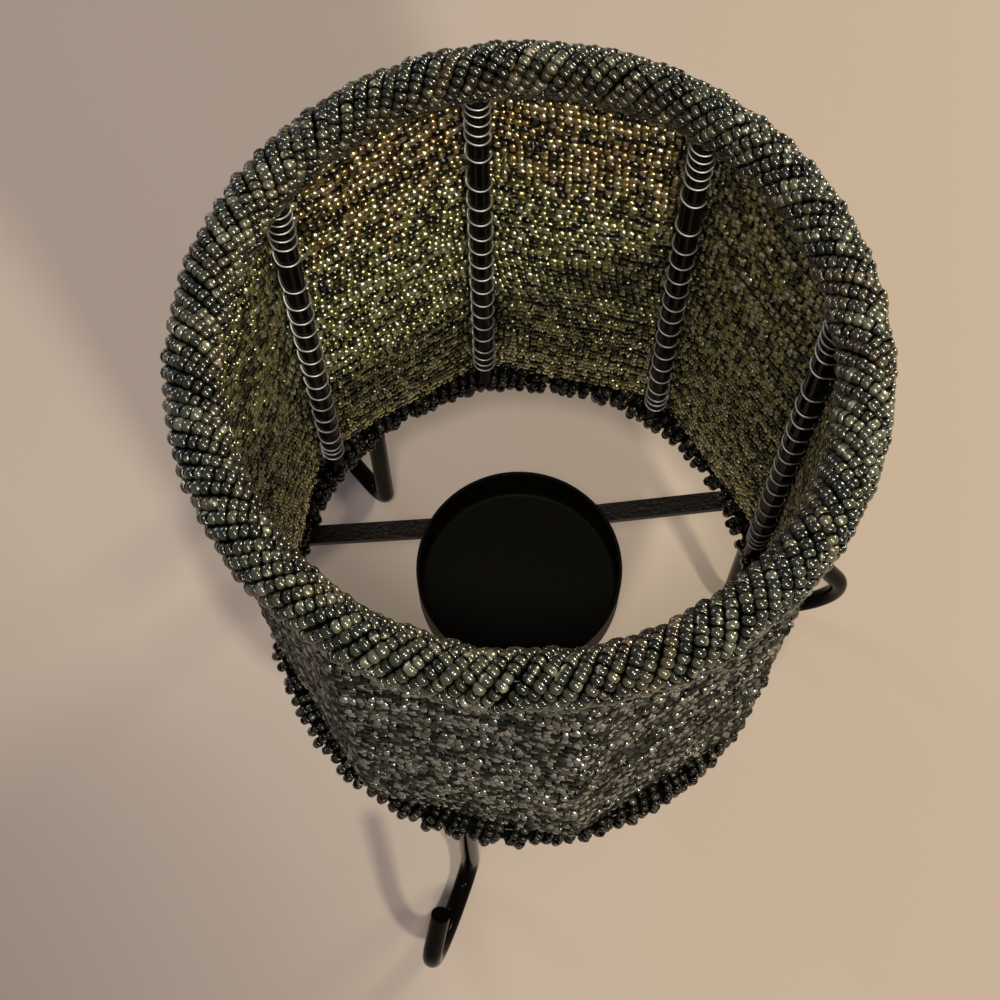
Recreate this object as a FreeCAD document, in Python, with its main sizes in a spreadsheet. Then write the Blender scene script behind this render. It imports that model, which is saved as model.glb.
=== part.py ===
import FreeCAD
import Part
import Sketcher
import math
import os

# Beaded tealight holder. A black wire frame has two rings, eight ribs and
# three scroll feet. Strings of seed beads wall it in outside the ribs and
# wind round both rings, and a flat strap under the lower ring carries the cup.
# The origin is on the floor, on the axis of the rings. The front is -Y.

doc = FreeCAD.newDocument("beaded_tealight_holder")
sheet = doc.addObject("Spreadsheet::Sheet", "Sizes")
vector = FreeCAD.Vector
up_axis = vector(0, 0, 1)

# Driving sizes, in millimetres, degrees and counts
sizes = [
    ("rod_radius", 2),
    ("top_ring_radius", 50),
    ("top_ring_height", 164.5),
    ("base_ring_step", 0.5),
    ("base_ring_height", 50),
    ("rib_count", 8),
    ("rib_first_angle", 11.25),
    ("rib_inset", 1.5),
    ("rib_end_gap", 1.2),
    ("wall_thickness", 2.2),
    ("wall_string_count", 61),
    ("wall_string_relief", 0.6),
    ("top_roll_radius", 5),
    ("top_string_count", 6),
    ("top_string_turns", 21),
    ("top_string_relief", 1.1),
    ("base_roll_radius", 4),
    ("strap_width", 4),
    ("strap_thickness", 1.5),
    ("strap_back", 17),
    ("strap_angle", 6.75),
    ("strap_drop", 1.8),
    ("strap_middle", 16),
    ("strap_end", 5.5),
    ("strap_past_ring", 1),
    ("cup_radius", 21),
    ("cup_wall", 0.6),
    ("cup_height", 11.5),
    ("cup_corner", 1.5),
    ("cup_side", -0.9),
    ("cup_back", 2.5),
    ("foot_leg_gap", 0.8),
    ("foot_heel_radius", 6.5),
    ("foot_sole", 3),
    ("foot_curl_radius", 14),
    ("foot_curl_angle", 27),
    ("foot_tip", 12),
    ("foot_1_angle", 15.5),
    ("foot_2_angle", 131.8),
    ("foot_3_angle", 258.3),
    ("foot_1_twist", -14),
    ("foot_2_twist", 0),
    ("foot_3_twist", -6),
]
for row, (alias, value) in enumerate(sizes, start=1):
    sheet.set(f"A{row}", alias)
    sheet.set(f"B{row}", str(value))
    sheet.setAlias(f"B{row}", alias)
doc.recompute()

size = {alias: float(sheet.get(alias)) for alias, value in sizes}
subparts = []

# The lower ring and the ribs stand inside the top ring by a step and an inset
base_ring_formula = "(Sizes.top_ring_radius - Sizes.base_ring_step)"
rib_axis_formula = "(Sizes.top_ring_radius - Sizes.rib_inset)"
base_ring_radius = size["top_ring_radius"] - size["base_ring_step"]
rib_axis_radius = size["top_ring_radius"] - size["rib_inset"]


def bind(item, **bindings):
    for name, formula in bindings.items():
        item.setExpression(name.replace("__", "."), formula)


def turned_about_axis(item, angle_formula):
    # The placement turns the finished piece about the axis of the rings
    item.Placement = FreeCAD.Placement(vector(0, 0, 0), FreeCAD.Rotation(up_axis, 1))
    bind(item, Placement__Rotation__Angle=angle_formula)


def subpart(item, label):
    item.Label = label
    subparts.append(item)
    return item


def origin_plane(body, role):
    return next(plane for plane in body.Origin.OriginFeatures if plane.Role == role)


def flat_sketch(body, name, role):
    sketch = body.newObject("Sketcher::SketchObject", name)
    sketch.AttachmentSupport = [(origin_plane(body, role), "")]
    sketch.MapMode = "FlatFace"
    return sketch


# Top and lower ring: round black rod bent to a hoop and welded shut
def hoop(name, radius, height, tube_radius):
    torus = doc.addObject("Part::Torus", name)
    bind(torus, Radius1=radius, Radius2=tube_radius, Placement__Base__z=height)
    return torus


def top_hoop(name, tube_radius):
    return hoop(name, "Sizes.top_ring_radius", "Sizes.top_ring_height", tube_radius)


def base_hoop(name, tube_radius):
    return hoop(name, base_ring_formula, "Sizes.base_ring_height", tube_radius)


top_ring = subpart(top_hoop("TopRing", "Sizes.rod_radius"), "top_ring")
base_ring = subpart(base_hoop("BaseRing", "Sizes.rod_radius"), "base_ring")
both_rings = doc.addObject("Part::MultiFuse", "BothRings")
both_rings.Shapes = [top_ring, base_ring]

# Ribs: upright rods a little inside the hoops, each end shaped to its hoop
rib_rod = doc.addObject("Part::Cylinder", "RibRod")
bind(rib_rod, Radius="Sizes.rod_radius", Placement__Base__x=rib_axis_formula)
bind(rib_rod, Placement__Base__z="Sizes.base_ring_height + Sizes.rib_end_gap")
bind(rib_rod, Height="Sizes.top_ring_height - Sizes.base_ring_height - 2 * Sizes.rib_end_gap")
ribs = []
for number in range(int(size["rib_count"])):
    rib = doc.addObject("Part::Cut", f"Rib{number + 1}")
    rib.Base = rib_rod
    rib.Tool = both_rings
    turned_about_axis(rib, f"Sizes.rib_first_angle + {number} * 360 / Sizes.rib_count")
    ribs.append(subpart(rib, f"rib_{number + 1}"))

# Feet: one rod each, bent to a hook that turns up and back at its outer end
# In a sketch an edge's points are its start, end and centre, in this order
start, end, centre = range(1, 4)
root = (-1, start)


def sized(sketch, kind, *places, formula):
    # A sketch dimension that follows the sheet
    index = sketch.addConstraint(Sketcher.Constraint(kind, *places))
    sketch.setExpression(f"Constraints[{index}]", formula)


def foot_route(body):
    # Centreline of the rod: leg, heel bend, sole, outer bend and tip
    route = flat_sketch(body, body.Name + "Route", "XZ_Plane")
    curl = math.radians(size["foot_curl_angle"])
    leg_top = size["base_ring_height"] - size["foot_leg_gap"]
    sole_height = size["rod_radius"]
    heel_centre = vector(size["foot_heel_radius"], sole_height + size["foot_heel_radius"], 0)
    curl_centre = vector(heel_centre.x + size["foot_sole"], sole_height + size["foot_curl_radius"], 0)
    curl_end = curl_centre + vector(math.cos(curl), math.sin(curl), 0) * size["foot_curl_radius"]
    tip_end = curl_end + vector(-math.sin(curl), math.cos(curl), 0) * size["foot_tip"]
    leg = route.addGeometry(Part.LineSegment(vector(0, leg_top, 0), vector(0, heel_centre.y, 0)))
    heel_circle = Part.Circle(heel_centre, up_axis, size["foot_heel_radius"])
    heel = route.addGeometry(Part.ArcOfCircle(heel_circle, math.pi, 1.5 * math.pi))
    sole = route.addGeometry(Part.LineSegment(vector(heel_centre.x, sole_height, 0),
                                              vector(curl_centre.x, sole_height, 0)))
    curl_circle = Part.Circle(curl_centre, up_axis, size["foot_curl_radius"])
    hook = route.addGeometry(Part.ArcOfCircle(curl_circle, -0.5 * math.pi, curl))
    tip = route.addGeometry(Part.LineSegment(curl_end, tip_end))
    route.addConstraint(Sketcher.Constraint("PointOnObject", leg, start, -2))
    route.addConstraint(Sketcher.Constraint("Vertical", leg))
    route.addConstraint(Sketcher.Constraint("Horizontal", sole))
    route.addConstraint(Sketcher.Constraint("Tangent", leg, end, heel, start))
    route.addConstraint(Sketcher.Constraint("Tangent", heel, end, sole, start))
    route.addConstraint(Sketcher.Constraint("Tangent", sole, end, hook, start))
    route.addConstraint(Sketcher.Constraint("Tangent", hook, end, tip, start))
    sized(route, "DistanceY", *root, leg, start, leg_top,
          formula="Sizes.base_ring_height - Sizes.foot_leg_gap")
    sized(route, "DistanceY", *root, sole, start, sole_height, formula="Sizes.rod_radius")
    sized(route, "Radius", heel, size["foot_heel_radius"], formula="Sizes.foot_heel_radius")
    sized(route, "DistanceX", sole, start, sole, end, size["foot_sole"], formula="Sizes.foot_sole")
    sized(route, "Radius", hook, size["foot_curl_radius"], formula="Sizes.foot_curl_radius")
    sized(route, "DistanceX", tip, end, tip, start, curl_end.x - tip_end.x,
          formula="Sizes.foot_tip * sin(Sizes.foot_curl_angle)")
    sized(route, "DistanceY", tip, start, tip, end, tip_end.y - curl_end.y,
          formula="Sizes.foot_tip * cos(Sizes.foot_curl_angle)")
    return route


for number in (1, 2, 3):
    body = doc.addObject("PartDesign::Body", f"FootRod{number}")
    route = foot_route(body)
    section = flat_sketch(body, f"FootSection{number}", "XY_Plane")
    bind(section, AttachmentOffset__Base__z="Sizes.base_ring_height - Sizes.foot_leg_gap")
    circle = section.addGeometry(Part.Circle(vector(0, 0, 0), up_axis, size["rod_radius"]))
    section.addConstraint(Sketcher.Constraint("Coincident", circle, centre, *root))
    sized(section, "Radius", circle, size["rod_radius"], formula="Sizes.rod_radius")
    pipe = body.newObject("PartDesign::AdditivePipe", f"FootPipe{number}")
    pipe.Profile = section
    pipe.Spine = route
    turned_about_axis(body, f"Sizes.foot_{number}_twist")
    bind(body, Placement__Base__x=base_ring_formula)
    foot = doc.addObject("Part::Cut", f"Foot{number}")
    foot.Base = body
    foot.Tool = base_ring
    turned_about_axis(foot, f"Sizes.foot_{number}_angle")
    subpart(foot, f"foot_{number}")

# Strap: a flat bar welded under the lower ring behind the axis, bent down a
# little on both sides so that its middle lies level under the cup
strap_body = doc.addObject("PartDesign::Body", "CupStrap")
profile = flat_sketch(strap_body, "StrapProfile", "XZ_Plane")
seat_formula = "Sizes.base_ring_height - Sizes.rod_radius"
half_chord_formula = f"sqrt({base_ring_formula} ^ 2 - Sizes.strap_back ^ 2)"
seat_height = size["base_ring_height"] - size["rod_radius"]
half_chord = math.sqrt(base_ring_radius ** 2 - size["strap_back"] ** 2)
outer_x = half_chord + size["strap_past_ring"]
lap_x = outer_x - size["strap_end"]
middle_x = size["strap_middle"]
low_height = seat_height - size["strap_drop"]
tops = [(-outer_x, seat_height), (-lap_x, seat_height), (-middle_x, low_height),
        (middle_x, low_height), (lap_x, seat_height), (outer_x, seat_height)]
bottoms = [(x, z - size["strap_thickness"]) for x, z in reversed(tops)]
corners = [vector(x, z, 0) for x, z in tops + bottoms]
next_corners = corners[1:] + corners[:1]
edges = [profile.addGeometry(Part.LineSegment(*pair)) for pair in zip(corners, next_corners)]
for edge, next_edge in zip(edges, edges[1:] + edges[:1]):
    profile.addConstraint(Sketcher.Constraint("Coincident", edge, end, next_edge, start))
place_formulas = [
    (f"{half_chord_formula} + Sizes.strap_past_ring", seat_formula),
    (f"{half_chord_formula} + Sizes.strap_past_ring - Sizes.strap_end", seat_formula),
    ("Sizes.strap_middle", f"{seat_formula} - Sizes.strap_drop"),
]
for number, edge in enumerate(edges):
    x, z = corners[number].x, corners[number].y
    on_top = number < len(tops)
    side_number = number if on_top else len(edges) - 1 - number
    x_formula, z_formula = place_formulas[min(side_number, len(tops) - 1 - side_number)]
    if not on_top:
        z_formula += " - Sizes.strap_thickness"
    if x < 0:
        sized(profile, "DistanceX", edge, start, *root, -x, formula=x_formula)
    else:
        sized(profile, "DistanceX", *root, edge, start, x, formula=x_formula)
    sized(profile, "DistanceY", *root, edge, start, z, formula=z_formula)
strap_pad = strap_body.newObject("PartDesign::Pad", "StrapPad")
strap_pad.Profile = profile
strap_pad.Midplane = True
bind(strap_pad, Length="Sizes.strap_width")
turned_about_axis(strap_body, "Sizes.strap_angle")
bind(strap_body, Placement__Base__x="-Sizes.strap_back * sin(Sizes.strap_angle)")
bind(strap_body, Placement__Base__y="Sizes.strap_back * cos(Sizes.strap_angle)")
subpart(strap_body, "cup_strap")

# Cup: a shallow pressed cup for a tealight, with a rounded foot corner
cup_body = doc.addObject("PartDesign::Body", "CandleCup")
half = flat_sketch(cup_body, "CupHalf", "XZ_Plane")
cup_r, cup_t, cup_h = size["cup_radius"], size["cup_wall"], size["cup_height"]
corner_r = size["cup_corner"]
cup_points = [vector(0, 0, 0), vector(cup_r - corner_r, 0, 0), vector(cup_r, corner_r, 0),
              vector(cup_r, cup_h, 0), vector(cup_r - cup_t, cup_h, 0),
              vector(cup_r - cup_t, corner_r, 0), vector(cup_r - corner_r, cup_t, 0),
              vector(0, cup_t, 0)]
corner_centre = vector(cup_r - corner_r, corner_r, 0)
outer_circle = Part.Circle(corner_centre, up_axis, corner_r)
inner_circle = Part.Circle(corner_centre, up_axis, corner_r - cup_t)
under = half.addGeometry(Part.LineSegment(cup_points[0], cup_points[1]))
outer_bend = half.addGeometry(Part.ArcOfCircle(outer_circle, -0.5 * math.pi, 0))
outside = half.addGeometry(Part.LineSegment(cup_points[2], cup_points[3]))
lip = half.addGeometry(Part.LineSegment(cup_points[3], cup_points[4]))
inside = half.addGeometry(Part.LineSegment(cup_points[4], cup_points[5]))
inner_bend = half.addGeometry(Part.ArcOfCircle(inner_circle, -0.5 * math.pi, 0))
floor = half.addGeometry(Part.LineSegment(cup_points[6], cup_points[7]))
middle = half.addGeometry(Part.LineSegment(cup_points[7], cup_points[0]))
half.addConstraint(Sketcher.Constraint("Coincident", under, start, *root))
half.addConstraint(Sketcher.Constraint("Horizontal", under))
half.addConstraint(Sketcher.Constraint("Horizontal", lip))
half.addConstraint(Sketcher.Constraint("Horizontal", floor))
half.addConstraint(Sketcher.Constraint("Vertical", middle))
half.addConstraint(Sketcher.Constraint("Tangent", under, end, outer_bend, start))
half.addConstraint(Sketcher.Constraint("Tangent", outer_bend, end, outside, start))
half.addConstraint(Sketcher.Constraint("Coincident", outside, end, lip, start))
half.addConstraint(Sketcher.Constraint("Coincident", lip, end, inside, start))
half.addConstraint(Sketcher.Constraint("Tangent", inside, end, inner_bend, end))
half.addConstraint(Sketcher.Constraint("Tangent", inner_bend, start, floor, start))
half.addConstraint(Sketcher.Constraint("Coincident", floor, end, middle, start))
half.addConstraint(Sketcher.Constraint("Coincident", middle, end, under, start))
half.addConstraint(Sketcher.Constraint("Coincident", outer_bend, centre, inner_bend, centre))
sized(half, "DistanceX", *root, outside, end, cup_r, formula="Sizes.cup_radius")
sized(half, "DistanceY", *root, outside, end, cup_h, formula="Sizes.cup_height")
sized(half, "DistanceX", lip, end, lip, start, cup_t, formula="Sizes.cup_wall")
sized(half, "Radius", outer_bend, corner_r, formula="Sizes.cup_corner")
cup_turn = cup_body.newObject("PartDesign::Revolution", "CupTurn")
cup_turn.Profile = half
cup_turn.ReferenceAxis = (half, ["V_Axis"])
cup_turn.Angle = 360
bind(cup_body, Placement__Base__x="Sizes.cup_side")
bind(cup_body, Placement__Base__y="Sizes.cup_back")
bind(cup_body, Placement__Base__z=f"{seat_formula} - Sizes.strap_drop")
subpart(cup_body, "candle_cup")

# Bead rolls: strings of beads wound round both hoops, over every rod that ends there.
# The strings of the top roll lie slantwise and stand out like the strands of a rope
steps_per_turn = 8


def wound_roll():
    # Flat facets between the crest of each string and the valley beside it
    strings, turns = int(size["top_string_count"]), int(size["top_string_turns"])
    crest_radius = size["top_roll_radius"]
    valley_radius = crest_radius - size["top_string_relief"]
    line_count, step_count = 2 * strings, turns * steps_per_turn

    def place(step, line):
        along_ring = math.tau * step / step_count
        round_tube = math.tau * (line / line_count + step / steps_per_turn)
        radius = valley_radius if line % 2 else crest_radius
        reach = size["top_ring_radius"] + radius * math.cos(round_tube)
        return vector(reach * math.cos(along_ring), reach * math.sin(along_ring),
                      size["top_ring_height"] + radius * math.sin(round_tube))

    facets = []
    for step in range(step_count):
        for line in range(line_count):
            near, beside = place(step, line), place(step, line + 1)
            ahead, across = place(step + 1, line), place(step + 1, line + 1)
            facets.append(Part.Face(Part.makePolygon([near, beside, across, near])))
            facets.append(Part.Face(Part.makePolygon([near, across, ahead, near])))
    shell = Part.makeShell(facets)
    shell.sewShape()
    return Part.makeSolid(shell)


top_winding = doc.addObject("Part::Feature", "TopWinding")
top_winding.Shape = wound_roll()
top_roll_solid = top_hoop("TopRollSolid", "Sizes.top_roll_radius")
base_roll_solid = base_hoop("BaseRollSolid", "Sizes.base_roll_radius")
frame_rods = doc.addObject("Part::MultiFuse", "FrameRods")
frame_rods.Shapes = [item for item in subparts if item is not cup_body]
for label, solid in (("top_bead_roll", top_winding), ("bottom_bead_roll", base_roll_solid)):
    roll = doc.addObject("Part::Cut", label.title().replace("_", ""))
    roll.Base = solid
    roll.Tool = frame_rods
    subpart(roll, label)

# Bead wall: one flat panel of level strings from rib to rib, mitred at the ribs and
# shaped to the rolls above and below
both_rolls = doc.addObject("Part::MultiFuse", "BothRolls")
both_rolls.Shapes = [top_roll_solid, base_roll_solid]
panel_body = doc.addObject("PartDesign::Body", "PanelSlab")
outline = flat_sketch(panel_body, "PanelOutline", "XY_Plane")
half_turn = math.pi / size["rib_count"]
inner_x = rib_axis_radius * math.cos(half_turn) + size["rod_radius"]
outer_x = inner_x + size["wall_thickness"]
slope = math.tan(half_turn)
panel_corners = [vector(inner_x, -inner_x * slope, 0), vector(outer_x, -outer_x * slope, 0),
                 vector(outer_x, outer_x * slope, 0), vector(inner_x, inner_x * slope, 0)]
next_corners = panel_corners[1:] + panel_corners[:1]
sides = [outline.addGeometry(Part.LineSegment(*pair)) for pair in zip(panel_corners, next_corners)]
for side, next_side in zip(sides, sides[1:] + sides[:1]):
    outline.addConstraint(Sketcher.Constraint("Coincident", side, end, next_side, start))
inner_formula = f"({rib_axis_formula} * cos(180 / Sizes.rib_count) + Sizes.rod_radius)"
outer_formula = f"({inner_formula} + Sizes.wall_thickness)"
x_formulas = [inner_formula, outer_formula, outer_formula, inner_formula]
for side, corner, x_formula in zip(sides, panel_corners, x_formulas):
    y_formula = f"{x_formula} * tan(180 / Sizes.rib_count)"
    sized(outline, "DistanceX", *root, side, start, corner.x, formula=x_formula)
    if corner.y < 0:
        sized(outline, "DistanceY", side, start, *root, -corner.y, formula=y_formula)
    else:
        sized(outline, "DistanceY", *root, side, start, corner.y, formula=y_formula)
slab = panel_body.newObject("PartDesign::Pad", "PanelPad")
slab.Profile = outline
bind(slab, Length="Sizes.top_ring_height - Sizes.base_ring_height")
bind(panel_body, Placement__Base__z="Sizes.base_ring_height")

# The strings lie one above the other, each thickest at its middle
string_pitch = (size["top_ring_height"] - size["base_ring_height"]) / size["wall_string_count"]
relief = size["wall_string_relief"]
half_width = outer_x * slope
inner_edge, outer_edge = [], []
for half_string in range(2 * int(size["wall_string_count"]) + 1):
    height = size["base_ring_height"] + half_string * string_pitch / 2
    sunk = 0 if half_string % 2 else relief
    inner_edge.append(vector(inner_x + sunk, -half_width, height))
    outer_edge.append(vector(outer_x - sunk, -half_width, height))
side_view = inner_edge + outer_edge[::-1]
stacked_strings = doc.addObject("Part::Feature", "StackedStrings")
side_face = Part.Face(Part.makePolygon(side_view + side_view[:1]))
stacked_strings.Shape = side_face.extrude(vector(0, 2 * half_width, 0))
string_slab = doc.addObject("Part::Common", "StringSlab")
string_slab.Base = panel_body
string_slab.Tool = stacked_strings
for number in range(int(size["rib_count"])):
    panel = doc.addObject("Part::Cut", f"Panel{number + 1}")
    panel.Base = string_slab
    panel.Tool = both_rolls
    turned_about_axis(panel, f"Sizes.rib_first_angle + ({number} + 0.5) * 360 / Sizes.rib_count")
    subpart(panel, f"bead_panel_{number + 1}")

# Recompute, check every object and write one file for each sub-part
doc.recompute()
for item in doc.Objects:
    if "Invalid" in item.State or "Error" in item.State:
        raise RuntimeError(f"{item.Name} failed: {item.State}")
os.makedirs("parts", exist_ok=True)
for item in subparts:
    shape = item.Shape
    if shape.isNull() or not shape.isValid():
        raise RuntimeError(f"{item.Label} has no sound shape")
    if len(shape.Solids) != 1:
        raise RuntimeError(f"{item.Label} has {len(shape.Solids)} solids")
for item in subparts:
    item.Shape.exportStep(f"parts/{item.Label}.step")
    box = item.Shape.BoundBox
    print(f"{item.Label}: volume {item.Shape.Volume:.1f}, z {box.ZMin:.2f} to {box.ZMax:.2f}")
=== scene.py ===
import math
import random

import bmesh
import bpy
from mathutils import Matrix, Quaternion, Vector


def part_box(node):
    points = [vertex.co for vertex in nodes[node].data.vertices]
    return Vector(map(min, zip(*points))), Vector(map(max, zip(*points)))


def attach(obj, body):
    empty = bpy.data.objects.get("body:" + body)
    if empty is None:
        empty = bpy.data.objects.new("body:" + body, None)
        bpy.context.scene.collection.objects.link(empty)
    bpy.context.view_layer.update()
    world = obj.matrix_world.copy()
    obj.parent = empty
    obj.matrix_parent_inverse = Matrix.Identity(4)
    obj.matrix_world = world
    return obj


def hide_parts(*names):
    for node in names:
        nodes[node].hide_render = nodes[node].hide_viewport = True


# A beaded tealight holder: a black wire frame on three scroll feet, walled with
# strings of seed beads, with bead-wound rims and a round cup on a flat strap.
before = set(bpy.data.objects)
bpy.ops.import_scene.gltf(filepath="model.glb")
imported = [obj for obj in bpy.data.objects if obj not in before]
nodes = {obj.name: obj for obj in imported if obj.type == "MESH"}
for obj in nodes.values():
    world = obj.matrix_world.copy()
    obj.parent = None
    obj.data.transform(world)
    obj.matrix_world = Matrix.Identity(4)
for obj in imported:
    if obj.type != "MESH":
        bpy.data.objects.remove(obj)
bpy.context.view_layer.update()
mm = 0.001

# Camera: held close above the front rim and looking down into the shade. It is
# aimed at the middle of the top ring, then turned a little off it and rolled.
top_roll_low, top_roll_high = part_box("top_bead_roll")
rim_middle = Vector((0, 0, (top_roll_low[2] + top_roll_high[2]) / 2))
camera_distance = 275.7 * mm
camera_elevation = math.radians(64.9)
camera_roll = math.radians(1.4)
focal_pixels = 1843.3
frame_pixels = 1000
rim_middle_x, rim_middle_y = 525.4, 355.1
camera_data = bpy.data.cameras.new("camera")
camera_data.sensor_width = 36
camera_data.lens = camera_data.sensor_width * focal_pixels / frame_pixels
camera_data.clip_start = 10 * mm
camera = bpy.data.objects.new("camera", camera_data)
bpy.context.collection.objects.link(camera)
bpy.context.scene.camera = camera
back_off = Vector((0, -math.cos(camera_elevation), math.sin(camera_elevation)))
right_of_aim = (rim_middle_x - frame_pixels / 2) / focal_pixels
below_aim = (rim_middle_y - frame_pixels / 2) / focal_pixels
yaw = math.atan(right_of_aim)
pitch = math.atan(below_aim * math.cos(yaw))
aim = (-back_off).to_track_quat("-Z", "Y")
turn = Quaternion((0, 1, 0), yaw) @ Quaternion((1, 0, 0), pitch) @ Quaternion((0, 0, 1), camera_roll)
camera.location = rim_middle + back_off * camera_distance
camera.rotation_mode = "QUATERNION"
camera.rotation_quaternion = aim @ turn

# Table: a broad top under pale, warm matt paint. Its colour goes from rosy on the
# left to creamy on the right, a painted tint of cooler light on the left, and a
# painted shadow darkens it towards the near left corner.
table_size = 4
# The rosy left is a painted tint of the cooler light that falls there
rosy, creamy = (0.55, 0.45, 0.395), (0.55, 0.435, 0.35)
rosy_until, creamy_from = -70 * mm, 80 * mm
# A painted shadow darkens the table towards its near left corner
unshaded, painted_shadow_colour = (1.0, 1.0, 1.0), (0.7, 0.69, 0.68)
shadow_from, shadow_full_at = -90 * mm, -200 * mm


def plain_material(name, colour, roughness):
    # A Principled material and its shader node, to be dressed by its own section
    material = bpy.data.materials.new(name)
    material.use_nodes = True
    shader = material.node_tree.nodes["Principled BSDF"]
    shader.inputs["Base Color"].default_value = (*colour, 1)
    shader.inputs["Roughness"].default_value = roughness
    return material, shader


def tint(tree, share, first, second, blend="MIX"):
    # A Mix node of two colours, each a plain colour or another node's output
    mix = tree.nodes.new("ShaderNodeMix")
    mix.data_type = "RGBA"
    mix.blend_type = blend
    for socket, value in ((mix.inputs[0], share), (mix.inputs[6], first), (mix.inputs[7], second)):
        if isinstance(value, bpy.types.NodeSocket):
            tree.links.new(value, socket)
        elif isinstance(value, tuple):
            socket.default_value = (*value, 1)
        else:
            socket.default_value = value
    return mix.outputs[2]


def fade(tree, value, start, end):
    # Goes from 0 to 1 as a node's output goes from start to end
    span = tree.nodes.new("ShaderNodeMapRange")
    span.inputs["From Min"].default_value = start
    span.inputs["From Max"].default_value = end
    tree.links.new(value, span.inputs["Value"])
    return span.outputs["Result"]


table_mesh = bmesh.new()
bmesh.ops.create_grid(table_mesh, x_segments=1, y_segments=1, size=table_size / 2)
table_data = bpy.data.meshes.new("table")
table_mesh.to_mesh(table_data)
table_mesh.free()
table = bpy.data.objects.new("table", table_data)
bpy.context.collection.objects.link(table)
table_paint, table_shader = plain_material("table_paint", colour=rosy, roughness=0.7)
table_data.materials.append(table_paint)
table_tree = table_paint.node_tree
table_place = table_tree.nodes.new("ShaderNodeSeparateXYZ")
table_tree.links.new(table_tree.nodes.new("ShaderNodeTexCoord").outputs["Object"], table_place.inputs[0])
crosswise = table_tree.nodes.new("ShaderNodeMath")
table_tree.links.new(table_place.outputs["X"], crosswise.inputs[0])
table_tree.links.new(table_place.outputs["Y"], crosswise.inputs[1])
creaminess = fade(table_tree, table_place.outputs["X"], rosy_until, creamy_from)
# Painted shadow towards the near left corner, over the painted cool tint on the left
painted_shadow_share = fade(table_tree, crosswise.outputs[0], shadow_from, shadow_full_at)
paint = tint(table_tree, creaminess, rosy, creamy)
shadowed_paint = tint(table_tree, painted_shadow_share, unshaded, painted_shadow_colour)
table_tree.links.new(tint(table_tree, 1.0, paint, shadowed_paint, "MULTIPLY"), table_shader.inputs["Base Color"])

# Light: low windows behind the holder on both sides, a lamp in front on the right
# and a weak ceiling lamp, all soft and warm but the left window, in a dim room.
lamp_distance = 1.2
room_colour, room_strength = (1, 0.94, 1, 1), 0.15


def soft_lamp(name, around, above, width, watts, colour):
    # A round soft lamp that looks at the middle of the holder. The angles are
    # degrees round from the right and up from the table
    lamp_data = bpy.data.lights.new(name, "AREA")
    lamp_data.shape = "DISK"
    lamp_data.size = width
    lamp_data.energy = watts
    lamp_data.color = colour
    lamp = bpy.data.objects.new(name, lamp_data)
    bpy.context.collection.objects.link(lamp)
    level = math.cos(math.radians(above))
    lamp.location = lamp_distance * Vector((level * math.cos(math.radians(around)),
                                            level * math.sin(math.radians(around)),
                                            math.sin(math.radians(above))))
    lamp.rotation_euler = (rim_middle / 2 - lamp.location).to_track_quat("-Z", "Y").to_euler()


soft_lamp("window", around=40, above=25, width=0.32, watts=8.6, colour=(1, 0.94, 0.68))
soft_lamp("front_lamp", around=301, above=46, width=0.1, watts=6.3, colour=(1, 0.97, 0.78))
soft_lamp("ceiling_lamp", around=268, above=72, width=0.12, watts=3.6, colour=(1, 0.94, 0.9))
soft_lamp("back_window", around=140, above=21, width=0.4, watts=2.4, colour=(0.78, 0.84, 1))
world = bpy.data.worlds.new("room")
world.use_nodes = True
world.node_tree.nodes["Background"].inputs["Color"].default_value = room_colour
world.node_tree.nodes["Background"].inputs["Strength"].default_value = room_strength
bpy.context.scene.world = world
bpy.context.scene.view_settings.view_transform = "Standard"

# Wire frame: both rings, the eight ribs and the three scroll feet are round
# steel rod, welded together and dipped in glossy black enamel.
enamel, enamel_shader = plain_material("black_enamel", colour=(0.003, 0.0025, 0.002), roughness=0.12)
enamel_shader.inputs["IOR"].default_value = 1.1
frame_nodes = ["top_ring", "base_ring"] + [n for n in nodes if n.startswith(("rib_", "foot_"))]
for name in frame_nodes:
    nodes[name].data.materials.clear()
    nodes[name].data.materials.append(enamel)
    for face in nodes[name].data.polygons:
        face.use_smooth = True

# Binding wires: one thin bright wire for each rib, wound round it from top to bottom
# between the strings of the wall. It lies level on the rib's face and drops behind.
rib_count = 8
rib_angle = math.radians(11.25)
rib_axis_radius = 48.5 * mm
wire_radius = 0.17 * mm
wire_coil_radius = 2.25 * mm
wire_start = rim_middle.z - 5 * mm
start_wander = 0.5 * mm
wire_gaps_in_mm = [2.4, 2.5, 2.6, 2.8, 5.5, 9.5, 6.6] + [5.4] * 11 + [3.8, 2.4, 2.4, 2.2]
gap_wander = 0.4 * mm
least_rise, most_rise = 0.1 * mm, 0.5 * mm
steps_per_winding = 20
bevel_for_six_sides = 1
wire_rng = random.Random(3)


def level_way(angle):
    # The level direction at an angle round the holder
    return Vector((math.cos(angle), math.sin(angle), 0))


def bent_wire(name, route, radius, material):
    # A round wire bent along a route: a bevelled curve made one closed smooth mesh
    curve = bpy.data.curves.new(name, "CURVE")
    curve.dimensions = "3D"
    curve.bevel_depth = radius
    curve.bevel_resolution = bevel_for_six_sides
    curve.use_fill_caps = True
    line = curve.splines.new("POLY")
    line.points.add(len(route) - 1)
    for point, place in zip(line.points, route):
        point.co = (*place, 1)
    data = bpy.data.meshes.new_from_object(bpy.data.objects.new(name, curve))
    bpy.data.curves.remove(curve)
    wire = bmesh.new()
    wire.from_mesh(data)
    bmesh.ops.remove_doubles(wire, verts=wire.verts, dist=radius / 100)
    bmesh.ops.recalc_face_normals(wire, faces=wire.faces)
    wire.to_mesh(data)
    wire.free()
    data.materials.append(material)
    for face in data.polygons:
        face.use_smooth = True
    piece = bpy.data.objects.new(name, data)
    bpy.context.collection.objects.link(piece)
    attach(piece, "root")


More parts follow.
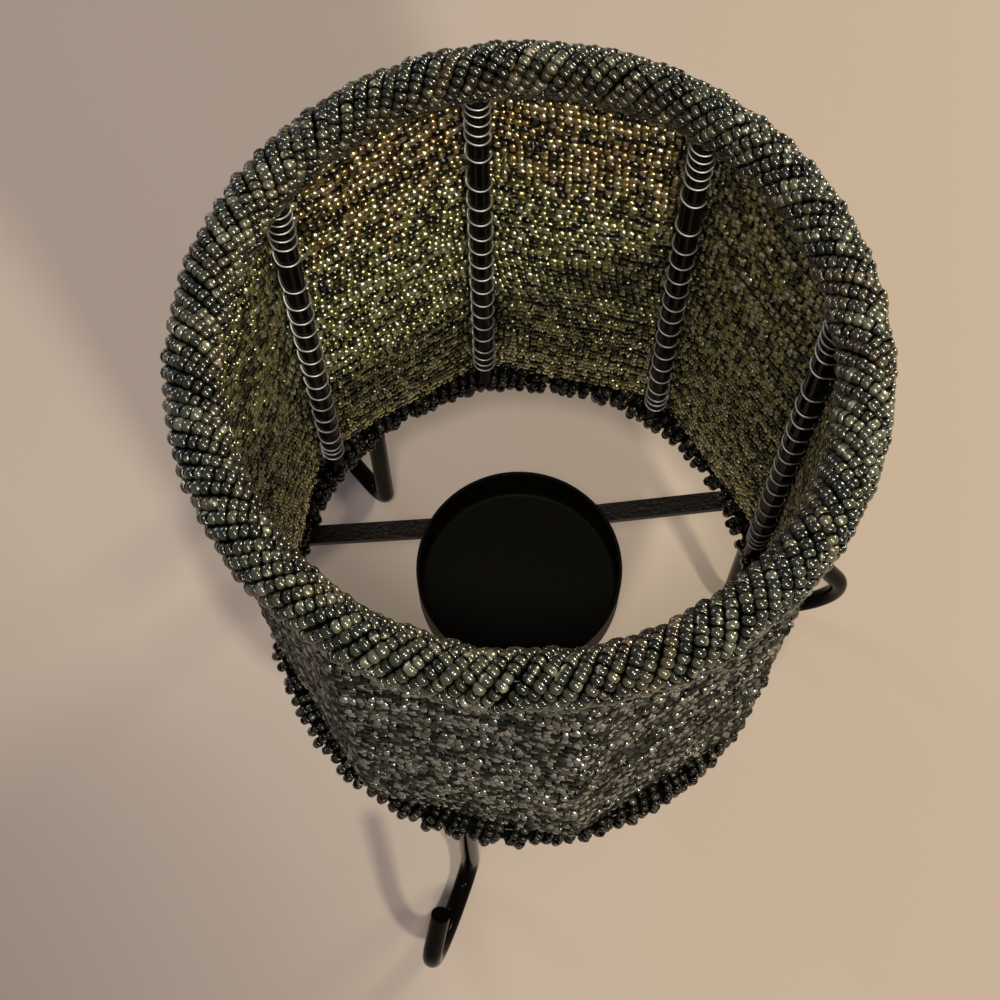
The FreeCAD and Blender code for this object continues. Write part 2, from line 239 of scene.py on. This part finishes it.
wire_metal, wire_shader = plain_material("binding_wire", colour=(0.74, 0.72, 0.68), roughness=0.45)
wire_shader.inputs["Metallic"].default_value = 0.9
for rib in range(rib_count):
    inward = -level_way(rib_angle + rib * math.tau / rib_count)
    aside = Vector((-inward.y, inward.x, 0))
    centre = -inward * rib_axis_radius
    height = wire_start + wire_rng.uniform(-start_wander, start_wander)
    route = []
    for gap in wire_gaps_in_mm:
        drop = gap * mm + wire_rng.uniform(-gap_wander, gap_wander)
        front_rise = wire_rng.uniform(least_rise, most_rise)
        for step in range(steps_per_winding):
            # Each winding starts beside the rib and crosses its face first
            share = step / steps_per_winding
            angle = math.tau * (share - 0.25)
            behind = max(2 * share - 1, 0)
            fall = drop * behind + front_rise * (math.sin(angle) if share < 0.5 else 1 - 2 * behind)
            place = centre + wire_coil_radius * (inward * math.cos(angle) + aside * math.sin(angle))
            place.z = height - fall
            route.append(place)
        height -= drop
    bent_wire(f"binding_wire_{rib + 1}", route, wire_radius, wire_metal)

# Strap: a flat steel bar welded under the lower ring, bent down in its middle for
# the cup. It is painted black, and the paint is pitted from the weld.
pit_size = 0.8 * mm
pit_depth = 0.25 * mm
strap_paint, strap_shader = plain_material("strap_paint", colour=(0.014, 0.010, 0.007), roughness=0.45)
strap_shader.inputs["Specular IOR Level"].default_value = 0.35
strap_tree = strap_paint.node_tree
pits = strap_tree.nodes.new("ShaderNodeTexNoise")
pits.inputs["Scale"].default_value = 1 / pit_size
pits.inputs["Detail"].default_value = 2
strap_tree.links.new(strap_tree.nodes.new("ShaderNodeTexCoord").outputs["Object"], pits.inputs["Vector"])
pitting = strap_tree.nodes.new("ShaderNodeBump")
pitting.inputs["Distance"].default_value = pit_depth
strap_tree.links.new(pits.outputs["Fac"], pitting.inputs["Height"])
strap_tree.links.new(pitting.outputs["Normal"], strap_shader.inputs["Normal"])
nodes["cup_strap"].data.materials.clear()
nodes["cup_strap"].data.materials.append(strap_paint)

# Cup: a shallow round cup for one tealight, pressed from thin steel sheet. It is
# welded on the strap and covered in satin black paint.
cup_paint, cup_shader = plain_material("cup_paint", colour=(0.006, 0.0045, 0.0015), roughness=0.6)
cup_shader.inputs["Specular IOR Level"].default_value = 0.15
nodes["candle_cup"].data.materials.clear()
nodes["candle_cup"].data.materials.append(cup_paint)

# Bead wall: strings of glass seed beads, one above the other, drawn tight round
# the outside of the eight ribs, so that each bay is nearly flat. The beads are
# short rounds, each with two painted glints. Inward faces are painted brighter,
# as lit through the glass, and the topmost strings of some bays get painted warm
# lamp light, amber, on the inside.
glass_roughness = 0.27
lustre_edge = (0.2, 0.2, 0.2, 1)
coat_roughness = 0.18
# Tones run from the darkest bead of a glass to the lightest
outside_tones = [(0.014, 0.018, 0.014), (0.045, 0.055, 0.043), (0.17, 0.19, 0.16), (0.55, 0.60, 0.53),
                 (1.0, 1.0, 0.97)]
# Inward faces: brighter olive tones, painted light shining through the glass, and amber tones, painted warm
# lamp light
lit_inside_tones = [(0.010, 0.012, 0.005), (0.09, 0.095, 0.035), (0.66, 0.64, 0.24), (1.0, 0.98, 0.72)]
amber_tones = [(0.012, 0.008, 0.003), (0.10, 0.062, 0.022), (0.74, 0.51, 0.18), (1.0, 0.88, 0.60)]
# Painted shade in the crevices, where a bead faces along its layer into its neighbours
painted_crevice_shades = [(0, 0.05), (0.3, 0.4), (0.6, 1)]
# Painted light from above: a bead is lit on top and darker underneath
top_light_dim_at, top_light_full_at = 0.05, 0.75
# Painted glints: two narrow bright streaks along each bead
glint_half_width = 0.1 * mm
glint_from_axis = 0.6 * mm
string_off_rib = 3.1 * mm
string_count = 61
bead_pitch = 1.4 * mm
base_roll_low, base_roll_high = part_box("bottom_bead_roll")
base_ring_z = (base_roll_low[2] + base_roll_high[2]) / 2
row_pitch = (rim_middle.z - base_ring_z) / string_count
lower_tuck, upper_tuck = 0.4 * mm, 1.5 * mm
wall_bottom = base_roll_high[2] - lower_tuck
wall_top = top_roll_low[2] + upper_tuck
bay_width = 2 * rib_axis_radius * math.sin(math.pi / rib_count)
bay_depth = rib_axis_radius * math.cos(math.pi / rib_count) + string_off_rib
corner_turn = math.tau / rib_count
corner_length = string_off_rib * corner_turn
string_per_bay = bay_width + corner_length
beads_per_bay = round(string_per_bay / bead_pitch)
# The strings sway up and down and in and out, in waves that drift from row to row
long_sway, long_waves = 0.2 * mm, 9
short_sway, short_waves = 0.12 * mm, 23
bulge, bulge_waves = 0.15 * mm, 11
wave_drift = 0.35
# Each bead stands a little out of line, and no two are cut alike
out_of_line, off_level, bead_tilt = 0.13 * mm, 0.06 * mm, 0.2
usual_width, width_spread, length_spread = 0.97, 0.05, 0.12
row_tone_spread, bead_tone_range, lightest_bead = 0.14, 0.9, 0.85
brightest_glint = 1.2
# Painted warm lamp light turns the inward faces amber between these shares of the wall's height, and in
# some bays only
amber_low, amber_high, amber_spread = 0.6, 0.84, 0.07
amber_share = [0.35, 1, 1, 0.25, 0, 0, 0, 0.2]
rng = random.Random(7)


def attribute(tree, name):
    # The number that a mesh keeps at each point under this name
    node = tree.nodes.new("ShaderNodeAttribute")
    node.attribute_name = name
    return node.outputs["Fac"]


def ramp(tree, value, stops):
    # A colour ramp of (place, colour) stops, where a plain number stands for a grey
    node = tree.nodes.new("ShaderNodeValToRGB")
    elements = node.color_ramp.elements
    while len(elements) < len(stops):
        elements.new(0.5)
    for element, (place, colour) in zip(elements, stops):
        element.position = place
        element.color = (*colour, 1) if isinstance(colour, tuple) else (colour, colour, colour, 1)
    tree.links.new(value, node.inputs["Fac"])
    return node.outputs["Color"]


def bead_glass(name, tones, amber_tones, lustre, coat, coat_ior, underside_shade):
    # Lustred glass: its colour changes from bead to bead, and from the olive of most
    # strings to amber. A bead has painted light on top and painted shade underneath,
    # and painted shade in the crevices between beads
    material, shader = plain_material(name, tones[0], glass_roughness)
    tree = material.node_tree
    tone = attribute(tree, "tone")
    spread = [number / (len(tones) - 1) for number in range(len(tones))]
    plain = ramp(tree, tone, list(zip(spread, tones)))
    amber = ramp(tree, tone, list(zip(spread, amber_tones)))
    colour = tint(tree, attribute(tree, "warmth"), plain, amber)
    # Painted shade: darker where a point faces into its neighbours
    depth = tree.nodes.new("ShaderNodeMath")
    depth.operation = "ABSOLUTE"
    tree.links.new(attribute(tree, "facing"), depth.inputs[0])
    crevice_shade = ramp(tree, depth.outputs[0], painted_crevice_shades)
    colour = tint(tree, 1.0, colour, crevice_shade, "MULTIPLY")
    # Painted light and shade: full tone on top, dimmed to the underside value below
    painted_top_light = ramp(tree, attribute(tree, "upward"), [(top_light_dim_at, underside_shade), (top_light_full_at, 1)])
    tree.links.new(tint(tree, 1.0, colour, painted_top_light, "MULTIPLY"), shader.inputs["Base Color"])
    shader.inputs["Metallic"].default_value = lustre
    shader.inputs["Specular Tint"].default_value = lustre_edge
    shader.inputs["Coat Weight"].default_value = coat
    shader.inputs["Coat IOR"].default_value = coat_ior
    shader.inputs["Coat Roughness"].default_value = coat_roughness
    return material


def bead_mould(name, radius, length, sides, profile_shares):
    # One bead about the Z axis: the half section, from hole to rim, spun round
    section = bmesh.new()
    corners = [section.verts.new((radius * r, 0, length * z)) for r, z in profile_shares]
    for corner, following in zip(corners, corners[1:] + corners[:1]):
        section.edges.new((corner, following))
    bmesh.ops.spin(section, geom=section.verts[:] + section.edges[:], cent=(0, 0, 0),
                   axis=(0, 0, 1), angle=math.tau, steps=sides, use_merge=True)
    bmesh.ops.recalc_face_normals(section, faces=section.faces)
    mould = bpy.data.meshes.new(name)
    section.to_mesh(mould)
    section.free()
    mould.attributes.new("tone", "FLOAT", "POINT")
    mould.attributes.new("warmth", "FLOAT", "POINT")
    return mould


def painted_glint_shares(mould):
    # Which points of a bead lie on its two painted glints, narrow bright streaks
    # which run along two opposite sides of it
    shares = []
    for vertex in mould.vertices:
        on_glint = abs(vertex.co.y) < glint_half_width and abs(vertex.co.x) > glint_from_axis
        shares.append(1.0 if on_glint else 0.0)
    return shares


def add_bead(beads, mould, glint_shares, place, along, scale, tone, glint, warmth):
    # Sets one bead of the mould into the bmesh, its hole lying along the string
    turn = along.to_track_quat("Z", "Y").to_matrix().to_4x4()
    spin = Matrix.Rotation(rng.uniform(0, math.tau), 4, "Z")
    set_in = Matrix.Translation(place) @ turn @ spin @ Matrix.Diagonal((*scale, 1))
    # Points on the painted glints take the glint tone instead of the bead's tone
    mould.attributes["tone"].data.foreach_set("value", [tone + (glint - tone) * share for share in glint_shares])
    mould.attributes["warmth"].data.foreach_set("value", [warmth] * len(mould.vertices))
    mould.transform(set_in)
    beads.from_mesh(mould)
    mould.transform(set_in.inverted())


def finish_beads(beads, name, outer_glass, inner_glass, node, outward):
    # Makes the strung beads a smooth piece that stands for its CAD node. Each
    # point keeps how far it faces out of the string's layer and how far up
    data = bpy.data.meshes.new(name)
    beads.to_mesh(data)
    beads.free()
    data.materials.append(outer_glass)
    data.materials.append(inner_glass)
    for face in data.polygons:
        face.use_smooth = True
        face.material_index = 0 if face.normal.dot(outward(face.center)) > 0 else 1
    facing = data.attributes.new("facing", "FLOAT", "POINT")
    facing.data.foreach_set("value", [vertex.normal.dot(outward(vertex.co)) for vertex in data.vertices])
    upward = data.attributes.new("upward", "FLOAT", "POINT")
    upward.data.foreach_set("value", [vertex.normal.z for vertex in data.vertices])
    piece = bpy.data.objects.new(name, data)
    bpy.context.collection.objects.link(piece)
    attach(piece, "root")
    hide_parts(node)


def string_place(bay, along):
    # Where a string runs, which way, and which way is out, for a share of its way
    # from the middle of one rib's outside to the middle of the next
    first = rib_angle + bay * corner_turn
    last = first + corner_turn
    gone = along * string_per_bay
    if corner_length / 2 <= gone <= string_per_bay - corner_length / 2:
        out = level_way(first + corner_turn / 2)
        side = Vector((-out.y, out.x, 0))
        across = gone - corner_length / 2 - bay_width / 2
        return out * bay_depth + side * across, side, out
    if gone < corner_length / 2:
        rib, angle = first, first + gone / string_off_rib
    else:
        rib, angle = last, last - (string_per_bay - gone) / string_off_rib
    out = level_way(angle)
    return level_way(rib) * rib_axis_radius + out * string_off_rib, Vector((-out.y, out.x, 0)), out


# Outward faces take the outside glass, inward faces a copy painted brighter as lit through the glass
outside_glass = bead_glass("outside_glass", outside_tones, outside_tones,
                           lustre=1, coat=0.3, coat_ior=1.6, underside_shade=0.3)
lit_inside_glass = bead_glass("lit_inside_glass", lit_inside_tones, amber_tones,
                          lustre=0.9, coat=0.8, coat_ior=1.85, underside_shade=0.9)
wall_bead = bead_mould("wall_bead", radius=1.01 * mm, length=1.44 * mm, sides=8, profile_shares=[
    (0.35, -0.46), (0.79, -0.49), (1, -0.18), (1, 0.18), (0.79, 0.49), (0.35, 0.46)])
wall_glints = painted_glint_shares(wall_bead)
for bay in range(rib_count):
    beads = bmesh.new()
    wave = [rng.uniform(0, math.tau) for _ in range(3)]
    for row in range(string_count):
        height = base_ring_z + (row + 0.5) * row_pitch
        if not wall_bottom < height < wall_top:
            continue
        start = rng.random()
        wave = [phase + rng.gauss(0, wave_drift) for phase in wave]
        row_tone = rng.gauss(0, row_tone_spread)
        rise = (height - wall_bottom) / (wall_top - wall_bottom)
        for number in range(beads_per_bay):
            share = (number + start) / beads_per_bay
            place, along, out = string_place(bay, share)
            sway = long_sway * math.sin(long_waves * share + wave[0])
            sway += short_sway * math.sin(short_waves * share + wave[1])
            stand_out = bulge * math.sin(bulge_waves * share + wave[2]) + rng.gauss(0, out_of_line)
            place = place + out * stand_out
            place.z = height + sway + rng.gauss(0, off_level)
            along = (along + Vector([rng.gauss(0, bead_tilt) for _ in range(3)])).normalized()
            width = rng.gauss(usual_width, width_spread)
            scale = (width, width, rng.gauss(1, length_spread))
            # Painted warm lamp light: amber on the inward faces of the topmost strings of some bays
            amber = (rise + rng.gauss(0, amber_spread) - amber_low) / (amber_high - amber_low)
            amber = max(min(amber, amber_share[bay]), 0)
            tone = min(max(bead_tone_range * rng.random() + row_tone, 0), lightest_bead)
            # Painted glint: its streaks take a tone at least as light as the bead
            glint = max(tone, rng.uniform(0, brightest_glint))
            add_bead(beads, wall_bead, wall_glints, place, along, scale, tone, glint, amber)
    bay_outward = level_way(rib_angle + (bay + 0.5) * corner_turn)
    finish_beads(beads, f"bead_wall_{bay + 1}", outside_glass, lit_inside_glass, f"bead_panel_{bay + 1}",
                 lambda place: bay_outward)

# Top rim: strings of slightly larger beads wound slantwise and close together
# round the top ring, hiding it, so that the rim is a thick twisted roll. Its
# beads are warmer on the side that faces into the shade.
rim_tones = [(0.008, 0.010, 0.006), (0.028, 0.032, 0.017), (0.10, 0.104, 0.062), (0.66, 0.64, 0.45)]
rim_amber_tones = [(0.012, 0.008, 0.004), (0.045, 0.030, 0.013), (0.13, 0.09, 0.04), (0.66, 0.50, 0.28)]
# Wound beads slip a little along their string and off the ring, and differ in size
slip_along, slip_off_ring = 0.08, 0.07 * mm
wound_width_spread, wound_length_spread = 0.05, 0.08
# Each string has a tone and a warmth of its own, and each bead in it its own tone
string_tone_range, own_tone_range, darker_by, lightest_wound = 0.4, 0.6, 0.06, 0.72
# Tone of the painted glints on a wound bead
least_glint, most_glint = -0.4, 1
usual_amber, string_amber_spread, inner_amber = -0.3, 0.5, 0.6
small_turn = 0.01


def wind_roll(name, node, mould, glass, ring_radius, tube_radius, strands, lean, beads_round, parts,
              lift, unrest):
    # Strings wound side by side round a ring. Each goes once round the tube and
    # moves on along the ring by as many strings as it leans
    low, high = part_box(node)
    centre_z = (low[2] + high[2]) / 2
    spacing = math.tau / strands
    glint_shares = painted_glint_shares(mould)

    def outward(place):
        core = Vector((place.x, place.y, 0)).normalized() * ring_radius
        return (place - core - Vector((0, 0, centre_z))).normalized()

    def wound_place(station, turn, off_core):
        round_tube = math.tau * turn - math.pi / 2
        reach = ring_radius + off_core * math.cos(round_tube)
        place = level_way((station + lean * turn) * spacing) * reach
        place.z = centre_z + off_core * math.sin(round_tube)
        return place

    for part in range(parts):
        beads = bmesh.new()
        for strand in range(part * strands // parts, (part + 1) * strands // parts):
            own_lift = rng.uniform(-1, 1) * lift
            station = strand + rng.gauss(0, unrest / 2)
            first = rng.random()
            string_tone = rng.random()
            string_amber = max(rng.gauss(usual_amber, string_amber_spread), 0)
            for number in range(beads_round):
                turn = (number + first + rng.uniform(-slip_along, slip_along)) / beads_round
                off_core = tube_radius + own_lift + rng.gauss(0, slip_off_ring)
                place = wound_place(station, turn, off_core)
                ahead = wound_place(station, turn + small_turn, off_core)
                behind = wound_place(station, turn - small_turn, off_core)
                along = (ahead - behind).normalized()
                along = (along + Vector([rng.gauss(0, unrest) for _ in range(3)])).normalized()
                width = rng.gauss(1, wound_width_spread)
                scale = (width, width, rng.gauss(1, wound_length_spread))
                tone = string_tone_range * string_tone + own_tone_range * rng.random() - darker_by
                tone = min(max(tone, 0), lightest_wound)
                # Painted glint: its streaks take a tone at least as light as the bead
                glint = max(tone, rng.uniform(least_glint, most_glint))
                faces_in = max(-math.cos(math.tau * turn - math.pi / 2), 0)
                warmth = string_amber + inner_amber * faces_in
                add_bead(beads, mould, glint_shares, place, along, scale, tone, glint, warmth)
        finish_beads(beads, f"{name}_{part + 1}", glass, glass, node, outward)


rim_glass = bead_glass("rim_glass", rim_tones, rim_amber_tones,
                       lustre=0.4, coat=1, coat_ior=1.75, underside_shade=0.5)
rim_bead = bead_mould("rim_bead", radius=1.12 * mm, length=1.45 * mm, sides=10, profile_shares=[
    (0.35, -0.42), (0.8, -0.5), (0.99, -0.18), (0.99, 0.18), (0.8, 0.5), (0.35, 0.42)])
wind_roll("rim_beads", "top_bead_roll", rim_bead, rim_glass, ring_radius=50 * mm, tube_radius=3.55 * mm,
          strands=126, lean=6, beads_round=19, parts=4, lift=0.28 * mm, unrest=0.1)

# Lower rim: shorter strings of darker glass beads, wound loosely and nearly straight
# across the lower ring, so that single beads stand out of the roll.
lower_tones = [(0.004, 0.004, 0.003), (0.010, 0.010, 0.007), (0.028, 0.027, 0.018), (0.30, 0.28, 0.19)]
lower_glass = bead_glass("lower_glass", lower_tones, lower_tones,
                         lustre=0.4, coat=1, coat_ior=1.4, underside_shade=0.3)
lower_bead = bead_mould("lower_bead", radius=1.0 * mm, length=1.36 * mm, sides=8, profile_shares=[
    (0.35, -0.42), (0.82, -0.5), (1, 0), (0.82, 0.5), (0.35, 0.42)])
wind_roll("lower_beads", "bottom_bead_roll", lower_bead, lower_glass, ring_radius=49.3 * mm,
          tube_radius=2.85 * mm, strands=132, lean=2, beads_round=13, parts=2, lift=0.5 * mm, unrest=0.32)
